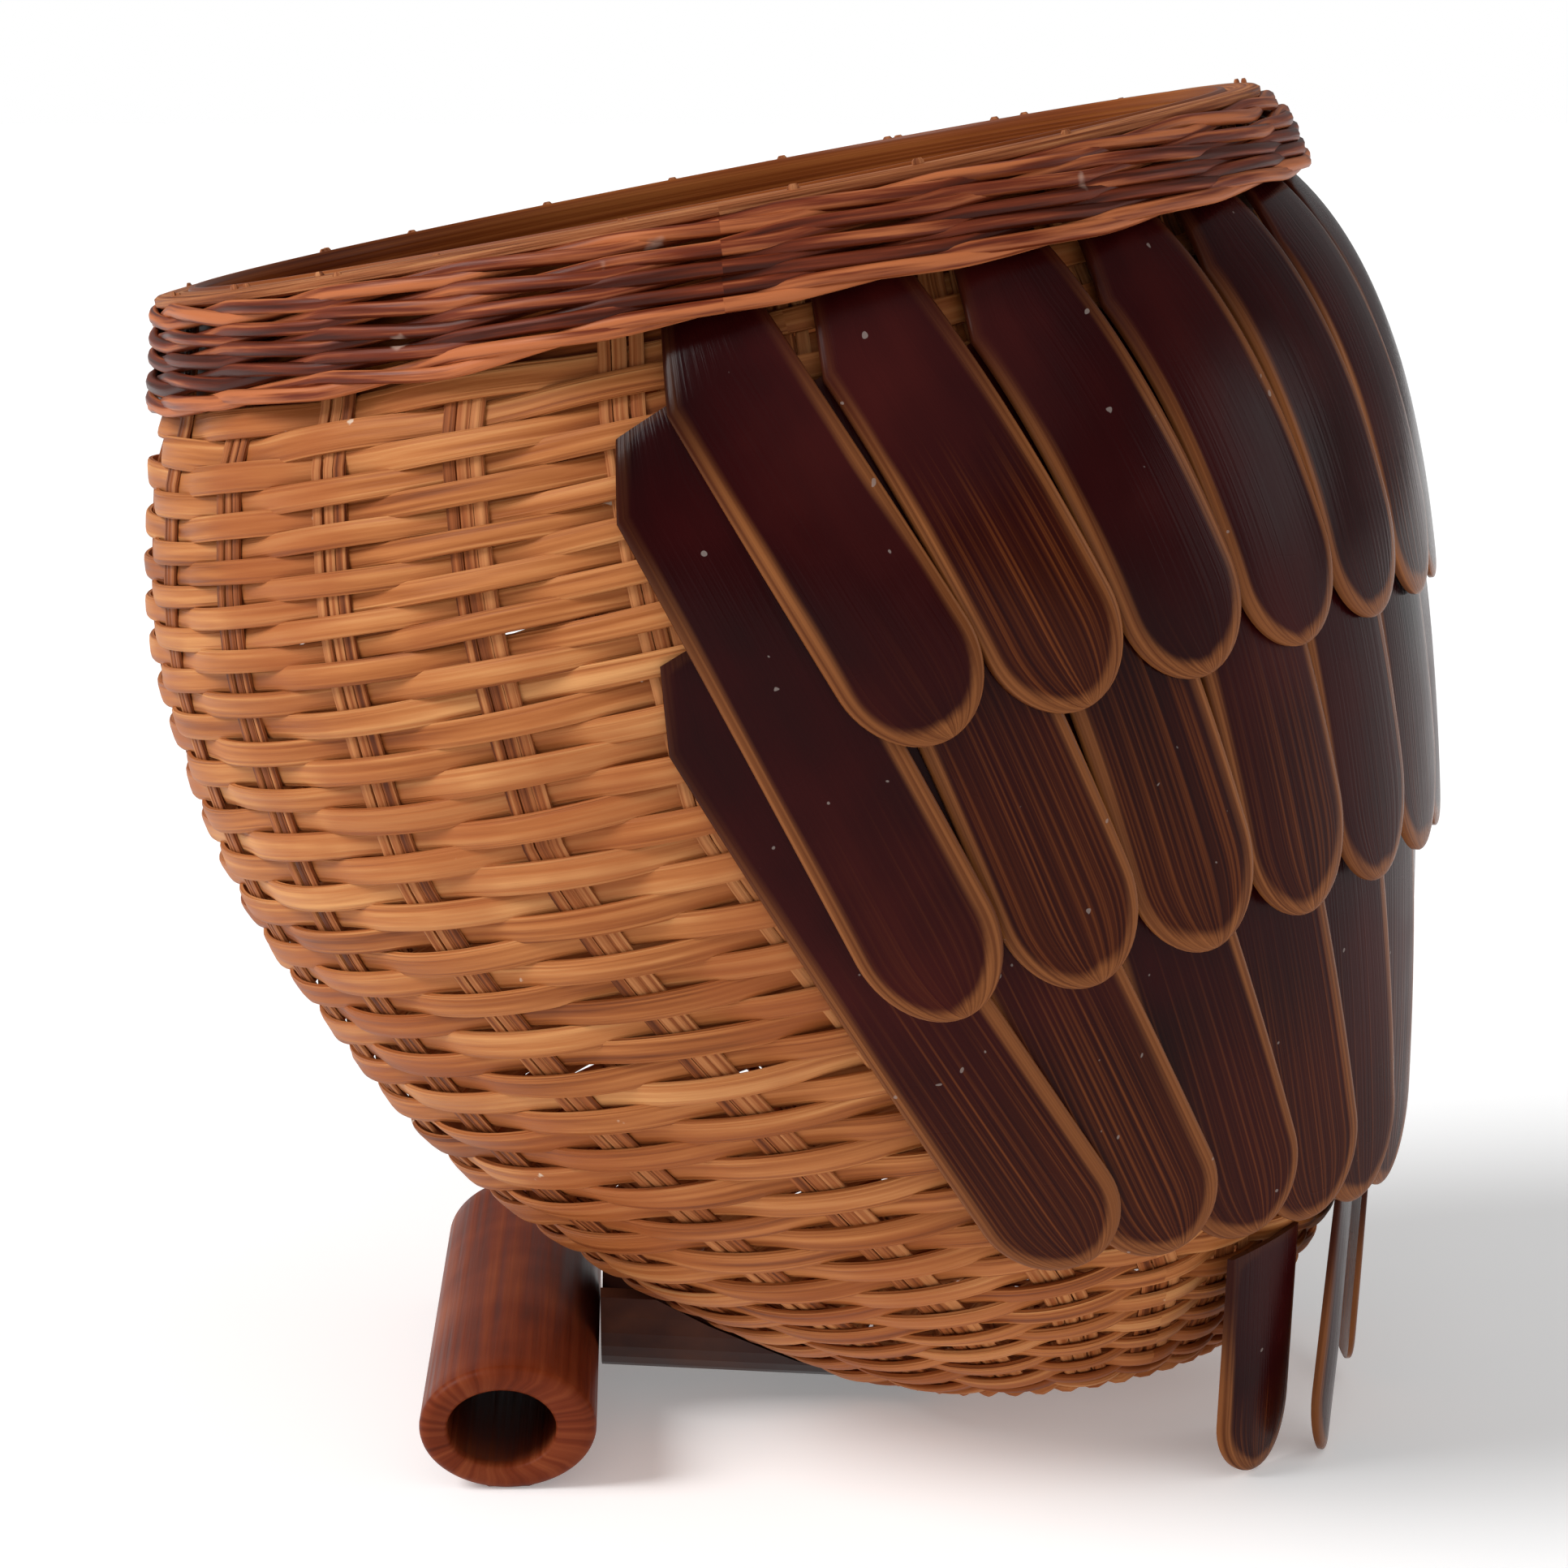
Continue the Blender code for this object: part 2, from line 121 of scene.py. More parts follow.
# The inner hoop's section: share of the wall, lift above the rim and distance from the wall's outer face
HOOP_OUTSIDE, HOOP_INSIDE = -0.0044, -0.0064
HOOP_EASE = 0.0005
HOOP_SECTION = (
    (0.9, 0.0, HOOP_OUTSIDE),
    (0.95, 0.0, HOOP_OUTSIDE),
    (1.0, 0.0, HOOP_OUTSIDE),
    (1.0, 0.0018, HOOP_OUTSIDE),
    (1.0, 0.0024, HOOP_OUTSIDE - HOOP_EASE),
    (1.0, 0.0024, HOOP_INSIDE + HOOP_EASE),
    (1.0, 0.0018, HOOP_INSIDE),
    (1.0, 0.0, HOOP_INSIDE),
    (0.95, 0.0, HOOP_INSIDE),
    (0.9, 0.0, HOOP_INSIDE),
)
HOOP_STEP = 1.5
CAP_HEIGHT, CAP_OUT, CAP_STEP = 0.0007, -0.0010, 2.0
CAP_HALF_WIDTH, CAP_HALF_THICK, CAP_SQUARENESS = 0.0032, 0.0014, 3.5
CAP_UNEVEN_UP, CAP_UNEVEN_OUT, CAP_UNEVEN_WIDTH = 0.00012, 0.0002, 0.03
# The shaved ends of the stakes: share of strips cut off flush, spacing in degrees, lengths that show
END_FLUSH, END_SPACING, END_SCATTER = 0.6, 1.6, 0.4
END_OUT, END_OUT_SCATTER = 0.0004, 0.0006
END_HEIGHT, END_HEIGHT_RANGE = 0.0021, 0.0008
END_ROOT, END_NECK, END_SHOULDER = -0.004, 0.001, 0.0005
END_TAPER = (1.0, 1.0, 0.95, 0.6)
END_HALF_WIDTH, END_HALF_THICK = 0.0012, 0.0005

# Slats
SLAT_THICKNESS = 0.0013
SLAT_TOP_WIDTH, SLAT_WIDTH = 0.0235, 0.026
SLAT_CUT_ACROSS, SLAT_CUT_ALONG = 0.007, 0.018
SLATS_PER_SIDE = 7
SLAT_ARCHED_BY = 0.625
SLAT_EASE, SLAT_EASE_DROP = 0.0016, 0.0006
SLAT_CUT_ROWS, SLAT_ROWS, SLAT_TIP_ROWS = 7, 26, 14
SLAT_TIP_SWEEP = 86.0
SLAT_TOP_BORDER = 0.0004
SLAT_SMOOTH = 60.0
SLAT_MAP_LENGTH = 0.1
# How far each slat's lacquer is rubbed through towards its tip, from the front slat to the middle of the back
RUBBED = {
    "wing_upper": (0.30, 0.95, 0.22, 0.12, 0.25, 0.60, 0.45, 0.5),
    "wing_middle": (0.45, 0.88, 0.78, 0.62, 0.35, 0.50, 0.42, 0.5),
    "wing_lower": (0.82, 0.90, 0.66, 0.74, 0.58, 0.64, 0.70, 0.5),
    "tail": (0.72, 0.55, 0.6),
}
RIGHT_LESS_RUBBED = 0.03
TIERS = {
    "wing_upper": dict(top_share=0.92, tip_share=(0.545, 0.500), top_angle=-3.5, tip_angle=10.4,
                       lifts=(0.0010, 0.0062, 0.0080), crown=0.0004, roll=0.066),
    "wing_middle": dict(top_share=0.832, tip_share=(0.385, 0.355), top_angle=-8.2, tip_angle=6.0,
                        lifts=(0.0006, 0.0039, 0.0078), crown=0.0004, roll=0.075),
    "wing_lower": dict(top_share=0.635, tip_share=(0.22, 0.155), top_angle=-8.2, tip_angle=9.0,
                       lifts=(0.0006, 0.0026, 0.0066), crown=0.0, roll=0.10),
}
MIDDLE_SINK = (0.0, 0.0008, 0.0018)
TAIL_TOP_SHARE, TAIL_TOP_LIFT = 0.17, 0.0016
TAIL_WIDTH, TAIL_CROWN = 0.025, 0.001
TAIL_SLATS = (
    (38.0, (0.056, 0.0874, 0.0006), 50.0),
    (61.0, (0.0470, 0.1019, 0.0006), 74.0),
    (90.0, (0.000, 0.1149, 0.004), 90.0),
)

# Perch
PERCH_LENGTH, PERCH_Y = 0.134, -0.0576
PERCH_WIDTH, PERCH_HEIGHT = 0.0342, 0.0258
BORE_WIDTH, BORE_HEIGHT, BORE_SHIFT = 0.0212, 0.0162, -0.0012
PERCH_FLAT_WIDTH, PERCH_SLANT, PERCH_EDGE = 0.009, 8.0, 0.0022
PERCH_ROUND = 96
PERCH_EASED_AT = (18, 36, 54, 72, 90)
PERCH_STATIONS, BORE_STATIONS = 24, 12
BORE_EASE, BORE_EASED_AT, BORE_INSET = 0.0006, (1.0, 0.5, 0.0), 0.004

# Camera and studio
CAMERA_PLACE = Vector((0.7821, -0.0313, 0.2666))
CAMERA_HEADING = (-0.9993, 0.0375)
CAMERA_DOWN = 10.11
CAMERA_LENS, CAMERA_SENSOR = 89.4, 36.0
BACKDROP_SEEN, BACKDROP_LIGHT = 1.0, 0.31
FLOOR_GLOW = 0.24
FLOOR_REACH, FLOOR_LINES = 30.0, 13
# Name, direction towards the light, strength and angular size in degrees
STUDIO_LIGHTS = (
    ("key", (0.28, -1.0, 0.86), 2.6, 30.0),
    ("fill", (0.9, 0.25, 0.8), 0.40, 60.0),
    ("back", (0.05, 1.0, 0.22), 0.40, 26.0),
)


# ---------------------------------------------------------------- the wall's surface

def wall_rings_at(share):
    """Centre y, centre z, radius and lean of the wall for an array of shares, smooth through WALL_RINGS."""
    knots = WALL_RINGS[:, 0]
    share = np.asarray(share, float)
    index = np.clip(np.searchsorted(knots, share, side="right") - 1, 0, len(knots) - 2)
    count = len(knots) - 1
    low, high = np.maximum(np.arange(count + 1) - 1, 0), np.minimum(np.arange(count + 1) + 1, count)
    slopes = (WALL_RINGS[high, 1:] - WALL_RINGS[low, 1:]) / (knots[high] - knots[low])[:, None]
    span = (knots[index + 1] - knots[index])[..., None]
    t = (share[..., None] - knots[index][..., None]) / span
    start, end = WALL_RINGS[index, 1:], WALL_RINGS[index + 1, 1:]
    value = (2 * t**3 - 3 * t**2 + 1) * start + (3 * t**2 - 2 * t**3) * end
    value += span * (t**3 - 2 * t**2 + t) * slopes[index] + span * (t**3 - t**2) * slopes[index + 1]
    return value[..., 0], value[..., 1], value[..., 2], value[..., 3]


def wall_point(share, angle, outward=0.0):
    """Points of the wall's outer face, moved out from its axis by outward."""
    share, angle = np.broadcast_arrays(np.asarray(share, float), np.asarray(angle, float))
    y, z, radius, lean = wall_rings_at(share)
    lean, turn = np.radians(lean), np.radians(angle)
    fading = np.maximum(0.0, 1.0 - ((share - BREAST_SHARE) / BREAST_REACH) ** 2) ** 2
    radius = radius + BREAST_FULLER * fading * np.maximum(0.0, -np.sin(turn)) ** 2
    across = (radius + outward) * np.cos(turn)
    along = (radius + outward) * np.sin(turn)
    return np.stack([across, y + along * np.cos(lean), z + along * np.sin(lean)], axis=-1)


def unit(vectors):
    return vectors / np.linalg.norm(vectors, axis=-1, keepdims=True)


def wall_normal(share, angle):
    share = np.asarray(share, float)
    above = wall_point(np.minimum(share + NORMAL_SHARE_STEP, 1.0), angle)
    below = wall_point(np.maximum(share - NORMAL_SHARE_STEP, 0.0), angle)
    upward = above - below
    around = wall_point(share, np.asarray(angle) + 1.0) - wall_point(share, np.asarray(angle) - 1.0)
    return unit(np.cross(around, upward))


def on_wall(share, angle, outward):
    """Points off the wall's outer face, square to it."""
    return wall_point(share, angle) + wall_normal(share, angle) * np.asarray(outward, float)[..., None]


def drifted(share, angle):
    """The real angle of a place given in stake angles. Low at the sides the stakes bend towards the tail."""
    high, low = DRIFT_SHARES
    ramp = np.clip((high - np.asarray(share, float)) / (high - low), 0.0, 2.0)
    turn = np.radians(angle)
    side = np.maximum(0.0, 2.0 * np.abs(np.cos(turn)) - 1.0)
    return angle + STAKE_DRIFT * side * ramp * np.sign(np.cos(turn))


# ---------------------------------------------------------------- meshes from strands

class Strands:
    """Collects strands, grids and plates, and makes one object of them.

    The UV map holds metres along and across a strand. tone is one number for each strand: random in the
    weave, and how far the lacquer is rubbed on a slat. edge is the distance from a slat's outline in metres.
    """

    def __init__(self):
        self.points, self.faces, self.uvs, self.tones, self.edges = [], [], [], [], []
        self.count = 0

    def grid(self, points, along, across, tone, wrap_rows=False, wrap_columns=False, edge=None):
        """points is rows x columns x 3. along and across are UV values one past each end when wrapped."""
        rows, columns = points.shape[:2]
        self.points.append(points.reshape(-1, 3))
        self.tones.append(np.full(rows * columns, tone))
        self.edges.append(np.zeros(rows * columns) if edge is None else edge.reshape(-1))
        row = np.arange(rows if wrap_rows else rows - 1)
        column = np.arange(columns if wrap_columns else columns - 1)
        row, column = [part.reshape(-1) for part in np.meshgrid(row, column, indexing="ij")]
        next_row, next_column = (row + 1) % rows, (column + 1) % columns
        quads = np.stack([row * columns + column, row * columns + next_column,
                          next_row * columns + next_column, next_row * columns + column], axis=1)
        self.faces.append(quads + self.count)
        corners = [(row, column), (row, column + 1), (row + 1, column + 1), (row + 1, column)]
        self.uvs.append(np.stack([np.stack([along[i], across[j]], axis=1) for i, j in corners], axis=1))
        self.count += rows * columns

    def strand(self, path, wide, thick, half_width, half_thick, tone, closed, sides=10, power=2.6):
        """A strand of oval section along path. wide and thick are unit vectors at each point of it."""
        turn = 2 * math.pi * (np.arange(sides) + 0.5) / sides
        cosine, sine = np.cos(turn), np.sin(turn)
        across = np.sign(cosine) * np.abs(cosine) ** (2 / power)
        outward = np.sign(sine) * np.abs(sine) ** (2 / power)
        half_width = np.broadcast_to(half_width, len(path))
        half_thick = np.broadcast_to(half_thick, len(path))
        points = path[:, None] + wide[:, None] * (half_width[:, None] * across)[..., None]
        points = points + thick[:, None] * (half_thick[:, None] * outward)[..., None]
        ends = np.concatenate([path, path[:1]]) if closed else path
        steps = np.linalg.norm(np.diff(ends, axis=0), axis=1)
        along = np.concatenate([[0.0], np.cumsum(steps)])
        around = np.arange(sides + 1) / sides * 4 * float(np.mean(half_width))
        self.grid(points, along, around, tone, wrap_rows=closed, wrap_columns=True)
        if not closed:
            self.cap(points[0], tone, True)
            self.cap(points[-1], tone, False)

    def cap(self, ring, tone, first):
        """The end of a strand: a fan round the ring's centre."""
        centre = ring.mean(axis=0)
        count = len(ring)
        self.points.append(np.concatenate([ring, centre[None]]))
        self.tones.append(np.full(count + 1, tone))
        self.edges.append(np.zeros(count + 1))
        here = np.arange(count)
        there = (here + 1) % count
        middle = np.full(count, count)
        order = (there, here, middle, middle) if first else (here, there, middle, middle)
        self.faces.append(np.stack(order, axis=1) + self.count)
        self.uvs.append(np.zeros((count, 4, 2)))
        self.count += count + 1

    def make(self, name, material, replaced, smooth=50.0):
        points = np.concatenate(self.points)
        faces = np.concatenate(self.faces)
        uvs = np.concatenate(self.uvs)
        triangle = faces[:, 2] == faces[:, 3]
        sizes = np.where(triangle, 3, 4)
        keep = np.ones((len(faces), 4), bool)
        keep[triangle, 3] = False
        mesh = bpy.data.meshes.new(name)
        mesh.vertices.add(len(points))
        mesh.vertices.foreach_set("co", points.astype(np.float32).reshape(-1))
        mesh.loops.add(int(sizes.sum()))
        mesh.loops.foreach_set("vertex_index", faces[keep].astype(np.int32))
        mesh.polygons.add(len(faces))
        starts = np.concatenate([[0], np.cumsum(sizes)[:-1]])
        mesh.polygons.foreach_set("loop_start", starts.astype(np.int32))
        mesh.polygons.foreach_set("loop_total", sizes.astype(np.int32))
        mesh.update(calc_edges=True)
        layer = mesh.uv_layers.new(name="UVMap")
        layer.data.foreach_set("uv", uvs[keep].astype(np.float32).reshape(-1))
        for label, values in (("tone", self.tones), ("edge", self.edges)):
            attribute = mesh.attributes.new(label, "FLOAT", "POINT")
            attribute.data.foreach_set("value", np.concatenate(values).astype(np.float32))
        mesh.polygons.foreach_set("use_smooth", np.ones(len(faces), bool))
        mesh.set_sharp_from_angle(angle=math.radians(smooth))
        mesh.validate()
        mesh.materials.append(material)
        made = bpy.data.objects.new(name, mesh)
        bpy.context.scene.collection.objects.link(made)
        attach(made, "root")
        if replaced:
            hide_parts(*replaced)
        return made


def wander(draw, angles, size, waves=(3, 11)):
    """A smooth random value round the basket, of about this size."""
    total = np.zeros_like(angles)
    for wave in range(*waves):
        total += draw.normal() * np.sin(np.radians(angles) * wave + draw.uniform(0, 2 * math.pi))
    return size * total / math.sqrt((waves[1] - waves[0]) / 2)


# ---------------------------------------------------------------- basket

def weft_shares():
    """Shares of the weft rows, by number from the reference row. Even rows pass behind the odd stakes."""
    low, high = PITCH_GROWS

    def pitch(share):
        mix = min(1.0, max(0.0, (share - low) / (high - low)))
        return WEFT_PITCH_LOW + (WEFT_PITCH_HIGH - WEFT_PITCH_LOW) * mix

    rows = {0: WEFT_REFERENCE}
    for direction in (1, -1):
        share, number = WEFT_REFERENCE, 0
        while True:
            share += direction * pitch(share)
            number += direction
            if not WEFT_SHARES[0] <= share <= WEFT_SHARES[1]:
                break
            rows[number] = share
    return rows


def basket_weave(materials):
    draw = np.random.default_rng(SEED)
    weave = Strands()
    shares = weft_shares()
    turns = FIRST_STAKE + np.arange(STAKES * STEPS_PER_STAKE) * STAKE_PITCH / STEPS_PER_STAKE
    for number in sorted(shares):
        share = shares[number]
        spacing = shares.get(number + 1, share + (share - shares.get(number - 1, share))) - share
        rows = share + wander(draw, turns, WEFT_UNEVEN * spacing)
        angles = drifted(rows, turns)
        phase = 1.0 if number % 2 == 0 else -1.0
        wave = phase * np.cos(np.radians(STAKES / 2 * (turns - FIRST_STAKE)))
        wave = np.sign(wave) * np.abs(wave) ** WEFT_CRISPNESS
        path = on_wall(rows, angles, WALL_MIDDLE + WEFT_SWING * wave)
        along = unit(np.roll(path, -1, axis=0) - np.roll(path, 1, axis=0))
        upward = unit(on_wall(rows + spacing / 2, angles, 0 * turns)
                      - on_wall(rows - spacing / 2, angles, 0 * turns))
        rise = wall_point(rows + spacing / 2, angles) - wall_point(rows - spacing / 2, angles)
        tall = np.linalg.norm(rise, axis=1)
        thick = unit(np.cross(along, upward))
        tilt = np.radians(draw.normal(0, WEFT_TILT) + wander(draw, turns, WEFT_TILT_WANDER))
        wide = unit(np.cross(thick, along))
        wide, thick = (wide * np.cos(tilt)[:, None] + thick * np.sin(tilt)[:, None],
                       thick * np.cos(tilt)[:, None] - wide * np.sin(tilt)[:, None])
        half = tall / 2 * WEFT_FILL * (1.0 + wander(draw, turns, WEFT_UNEVEN_WIDTH))
        weave.strand(path, wide, thick, half, WEFT_THICKNESS / 2, draw.uniform(), closed=True,
                     sides=WEFT_SIDES, power=WEFT_SQUARENESS)
    weave.make("basket_weave", materials["weft"], ["basket_wall"])


def basket_stakes(materials):
    draw = np.random.default_rng(SEED + 1)
    stakes = Strands()
    shares = np.linspace(0.0, 1.0, STRIP_STATIONS)
    for number in range(STAKES):
        turn = FIRST_STAKE + number * STAKE_PITCH
        for strip in range(STAKE_STRIPS):
            sideways = (strip - (STAKE_STRIPS - 1) / 2) * STRIP_SPACING + draw.normal(0, STRIP_SCATTER)
            radius = wall_rings_at(shares)[2]
            angles = drifted(shares, turn) + np.degrees(sideways / radius)
            path = on_wall(shares, angles, np.full(len(shares), WALL_MIDDLE))
            along = unit(np.gradient(path, axis=0))
            thick = wall_normal(shares, angles)
            wide = unit(np.cross(thick, along))
            half = STRIP_WIDTH / 2 * draw.uniform(*STRIP_WIDTHS)
            stakes.strand(path, wide, thick, half, STRIP_THICKNESS / 2, draw.uniform(), closed=False,
                          sides=STRIP_SIDES)
    stakes.make("basket_stakes", materials["stake"], [])


def basket_foot(materials, draw):
    """The foot's border: two round reeds twined under the lowest weft."""
    foot = Strands()
    turns = np.arange(0.0, 360.0, FOOT_STEP)
    share = np.full(len(turns), FOOT_SHARE)
    for strand in range(2):
        swing = np.radians(STAKES * turns + 180.0 * strand)
        outward = WALL_MIDDLE + FOOT_SWING_OUT * np.cos(swing)
        path = on_wall(share + FOOT_SWING_UP * np.sin(swing), turns, outward)
        along = unit(np.roll(path, -1, axis=0) - np.roll(path, 1, axis=0))
        thick = wall_normal(share, turns)
        wide = unit(np.cross(thick, along))
        foot.strand(path, wide, thick, FOOT_REED_RADIUS, FOOT_REED_RADIUS, draw.uniform(), closed=True,
                    power=ROUND_SECTION)
    foot.make("basket_foot", materials["weft"], [])


def floor_weave(materials, draw):
    """The floor: rings woven over and under spokes, which cross its middle from side to side."""
    floor = Strands()
    lowest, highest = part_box("basket_floor")
    y, z, _, lean = [float(value) for value in wall_rings_at(0.0)]
    lean = math.radians(lean)
    middle = np.array([0.0, y, z]) + FLOOR_LIFT * np.array([0.0, -math.sin(lean), math.cos(lean)])
    ahead = np.array([0.0, math.cos(lean), math.sin(lean)])
    aside = np.array([1.0, 0.0, 0.0])
    upward = np.cross(aside, ahead)
    outer = (highest.x - lowest.x) / 2
    turns = np.arange(0.0, 360.0, 360.0 / (STAKES * FLOOR_STEPS_PER_SPOKE))
    for ring in range(FLOOR_RINGS):
        radius = outer * (ring + FLOOR_FIRST_RING) / (FLOOR_RINGS + FLOOR_LAST_GAP)
        phase = 1.0 if ring % 2 == 0 else -1.0
        height = phase * FLOOR_SWING * np.cos(np.radians(STAKES / 2 * turns))
        radial = np.cos(np.radians(turns))[:, None] * aside + np.sin(np.radians(turns))[:, None] * ahead
        path = middle + radial * radius + upward * height[:, None]
        floor.strand(path, radial, np.broadcast_to(upward, path.shape), outer / FLOOR_RINGS / 2 * FLOOR_FILL,
                     FLOOR_HALF_THICK, draw.uniform(), closed=True, sides=STRIP_SIDES)
    for spoke in range(STAKES // 2):
        turn = math.radians(spoke * 360.0 / STAKES)
        direction = math.cos(turn) * aside + math.sin(turn) * ahead
        sideways = np.cross(upward, direction)
        reach = np.linspace(-outer * SPOKE_REACH, outer * SPOKE_REACH, SPOKE_STATIONS)
        path = middle + reach[:, None] * direction
        floor.strand(path, np.broadcast_to(sideways, path.shape), np.broadcast_to(upward, path.shape),
                     SPOKE_HALF_WIDTH, SPOKE_HALF_THICK, draw.uniform(), closed=False, sides=STRIP_SIDES)
    floor.make("floor_weave", materials["stake"], ["basket_floor"])


# ---------------------------------------------------------------- rim

def over_wings(angle):
    """1 over the wings and tail, 0 over the breast, smooth between SLOT_ANGLES."""
    from_front = 180.0 - np.abs((angle + 90.0) % 360.0 - 180.0) - 90.0
    low, high = SLOT_ANGLES
    t = np.clip((from_front - low) / (high - low), 0.0, 1.0)
    return t * t * (3.0 - 2.0 * t)


def band_outward(share, angle):
    """How far the back of the rim band stands off the wall."""
    slot = np.interp(share, (BAND_BOTTOM, BAND_SEAT, 1.0), (SLOT_BOTTOM, SLOT_TOP, GAP))
    return np.maximum(GAP, slot * over_wings(angle))


def rim_up():
    """The way up square to the plane of the rim."""
    lean = math.radians(WALL_RINGS[-1, 4])
    return np.array([0.0, -math.sin(lean), math.cos(lean)])


def above_rim(angle, outward, height):
    return wall_point(1.0, angle, outward) + np.asarray(height, float)[..., None] * rim_up()


def rim_band(materials):
    """Rows of two reeds twined round the rim. They stand off the wall where slats pass behind them."""
    draw = np.random.default_rng(SEED + 3)
    band = Strands()
    turns = np.arange(STAKES * TWINE_STEPS) * STAKE_PITCH / TWINE_STEPS
    low, high = BAND_SHARES
    per_metre = (high - low) / np.linalg.norm(wall_point(high, 0.0) - wall_point(low, 0.0))
    for row in range(BAND_ROWS):
        share = low + (high - low) * row / (BAND_ROWS - 1)
        for strand in range(2):
            swing = np.radians(STAKES / 2 * (turns - FIRST_STAKE)) + math.pi * strand
            slanting = 2 / math.pi * np.arcsin(TWINE_POINTED * np.cos(swing))
            rows = share + TWINE_UP * per_metre * slanting + wander(draw, turns, ROW_WANDER)
            outward = BAND_MIDDLE + TWINE_OUT * np.sin(swing) + band_outward(rows, turns)
            path = on_wall(np.minimum(rows, 1.0), turns, outward)
            path += (np.maximum(rows - 1.0, 0.0) / per_metre)[:, None] * rim_up()
            along = unit(np.roll(path, -1, axis=0) - np.roll(path, 1, axis=0))
            thick = wall_normal(np.full(len(turns), share), turns)
            wide = unit(np.cross(thick, along))
            thick = unit(np.cross(along, wide))
            half = REED_RADIUS * (1.0 + wander(draw, turns, REED_WANDER))
            band.strand(path, wide, thick, half * REED_WIDER, half * REED_THINNER, draw.uniform(),
                        closed=True, power=REED_SQUARENESS)
    band.make("rim_twining", materials["reed"], ["rim_band"])


def rim_hoop(materials):
    """The bamboo splint bent round inside the rim."""
    hoop = Strands()
    turns = np.arange(0.0, 360.0, HOOP_STEP)
    profile = []
    for share, lift, out in HOOP_SECTION:
        profile.append(wall_point(np.full(len(turns), share), turns, out) + lift * rim_up())
    points = np.stack(profile, axis=1)
    steps = np.linalg.norm(np.roll(points[:, 0], -1, axis=0) - points[:, 0], axis=1)
    along = np.concatenate([[0.0], np.cumsum(steps)])
    widths = np.linalg.norm(np.roll(points[0], -1, axis=0) - points[0], axis=1)
    across = np.concatenate([[0.0], np.cumsum(widths)])
    hoop.grid(points, along, across, 0.5, wrap_rows=True, wrap_columns=True)
    hoop.make("rim_splint", materials["splint"], ["rim_hoop"])


def rim_cap(materials):
    """The flat cane that closes the top of the rim."""
    draw = np.random.default_rng(SEED + 4)
    cap = Strands()
    turns = np.arange(0.0, 360.0, CAP_STEP)
    height = CAP_HEIGHT + wander(draw, turns, CAP_UNEVEN_UP)
    path = above_rim(turns, CAP_OUT + wander(draw, turns, CAP_UNEVEN_OUT), height)
    along = unit(np.roll(path, -1, axis=0) - np.roll(path, 1, axis=0))
    up = np.broadcast_to(rim_up(), path.shape)
    wide = unit(np.cross(along, up))
    half = CAP_HALF_WIDTH * (1 + wander(draw, turns, CAP_UNEVEN_WIDTH))
    cap.strand(path, wide, up, half, CAP_HALF_THICK, 0.5, closed=True, power=CAP_SQUARENESS)
    cap.make("rim_cane", materials["cane"], ["rim_cap"])
    stake_ends(materials, draw)


def stake_ends(materials, draw):
    """The shaved ends of some of the stakes' strips, beside the cane."""
    ends = Strands()
    for number in range(STAKES):
        for strip in range(STAKE_STRIPS):
            if draw.uniform() < END_FLUSH:
                continue
            turn = FIRST_STAKE + number * STAKE_PITCH + (strip - 1) * END_SPACING
            turn += draw.normal(0, END_SCATTER)
            tall = END_HEIGHT + draw.uniform(0.0, END_HEIGHT_RANGE)
            lifts = np.array([END_ROOT, END_NECK, tall - END_SHOULDER, tall])
            path = above_rim(np.full(len(lifts), turn), END_OUT + draw.normal(0, END_OUT_SCATTER), lifts)
            along = unit(np.gradient(path, axis=0))
            thick = np.broadcast_to(wall_normal(np.array(1.0), np.array(turn)), path.shape)
            wide = unit(np.cross(thick, along))
            taper = np.array(END_TAPER)
            ends.strand(path, wide, thick, END_HALF_WIDTH * taper, END_HALF_THICK * taper, draw.uniform(),
                        closed=False, sides=STRIP_SIDES)
    ends.make("stake_ends", materials["cane"], [])


# ---------------------------------------------------------------- slats

def curve_through(top, middle, tip, t):
    """Points on the parabola through the three, which it passes at t = 0, 1/2 and 1."""
    t = np.asarray(t, float)[..., None]
    return top * (1 - t) * (1 - 2 * t) + middle * 4 * t * (1 - t) + tip * t * (2 * t - 1)


def slat_profile(half, ease_points=4, face_points=9):
    """Places across a slat as shares of its half width, closer together at the eased edges."""
    ease = min(0.8, SLAT_EASE / max(half, 1e-6))
    edge = 1.0 - ease * (1.0 - np.cos(np.linspace(0, math.pi / 2, ease_points)))[::-1]
    inner = np.linspace(-1.0, 1.0, face_points) * edge[0]
    return np.concatenate([-edge[::-1], inner[1:-1], edge])


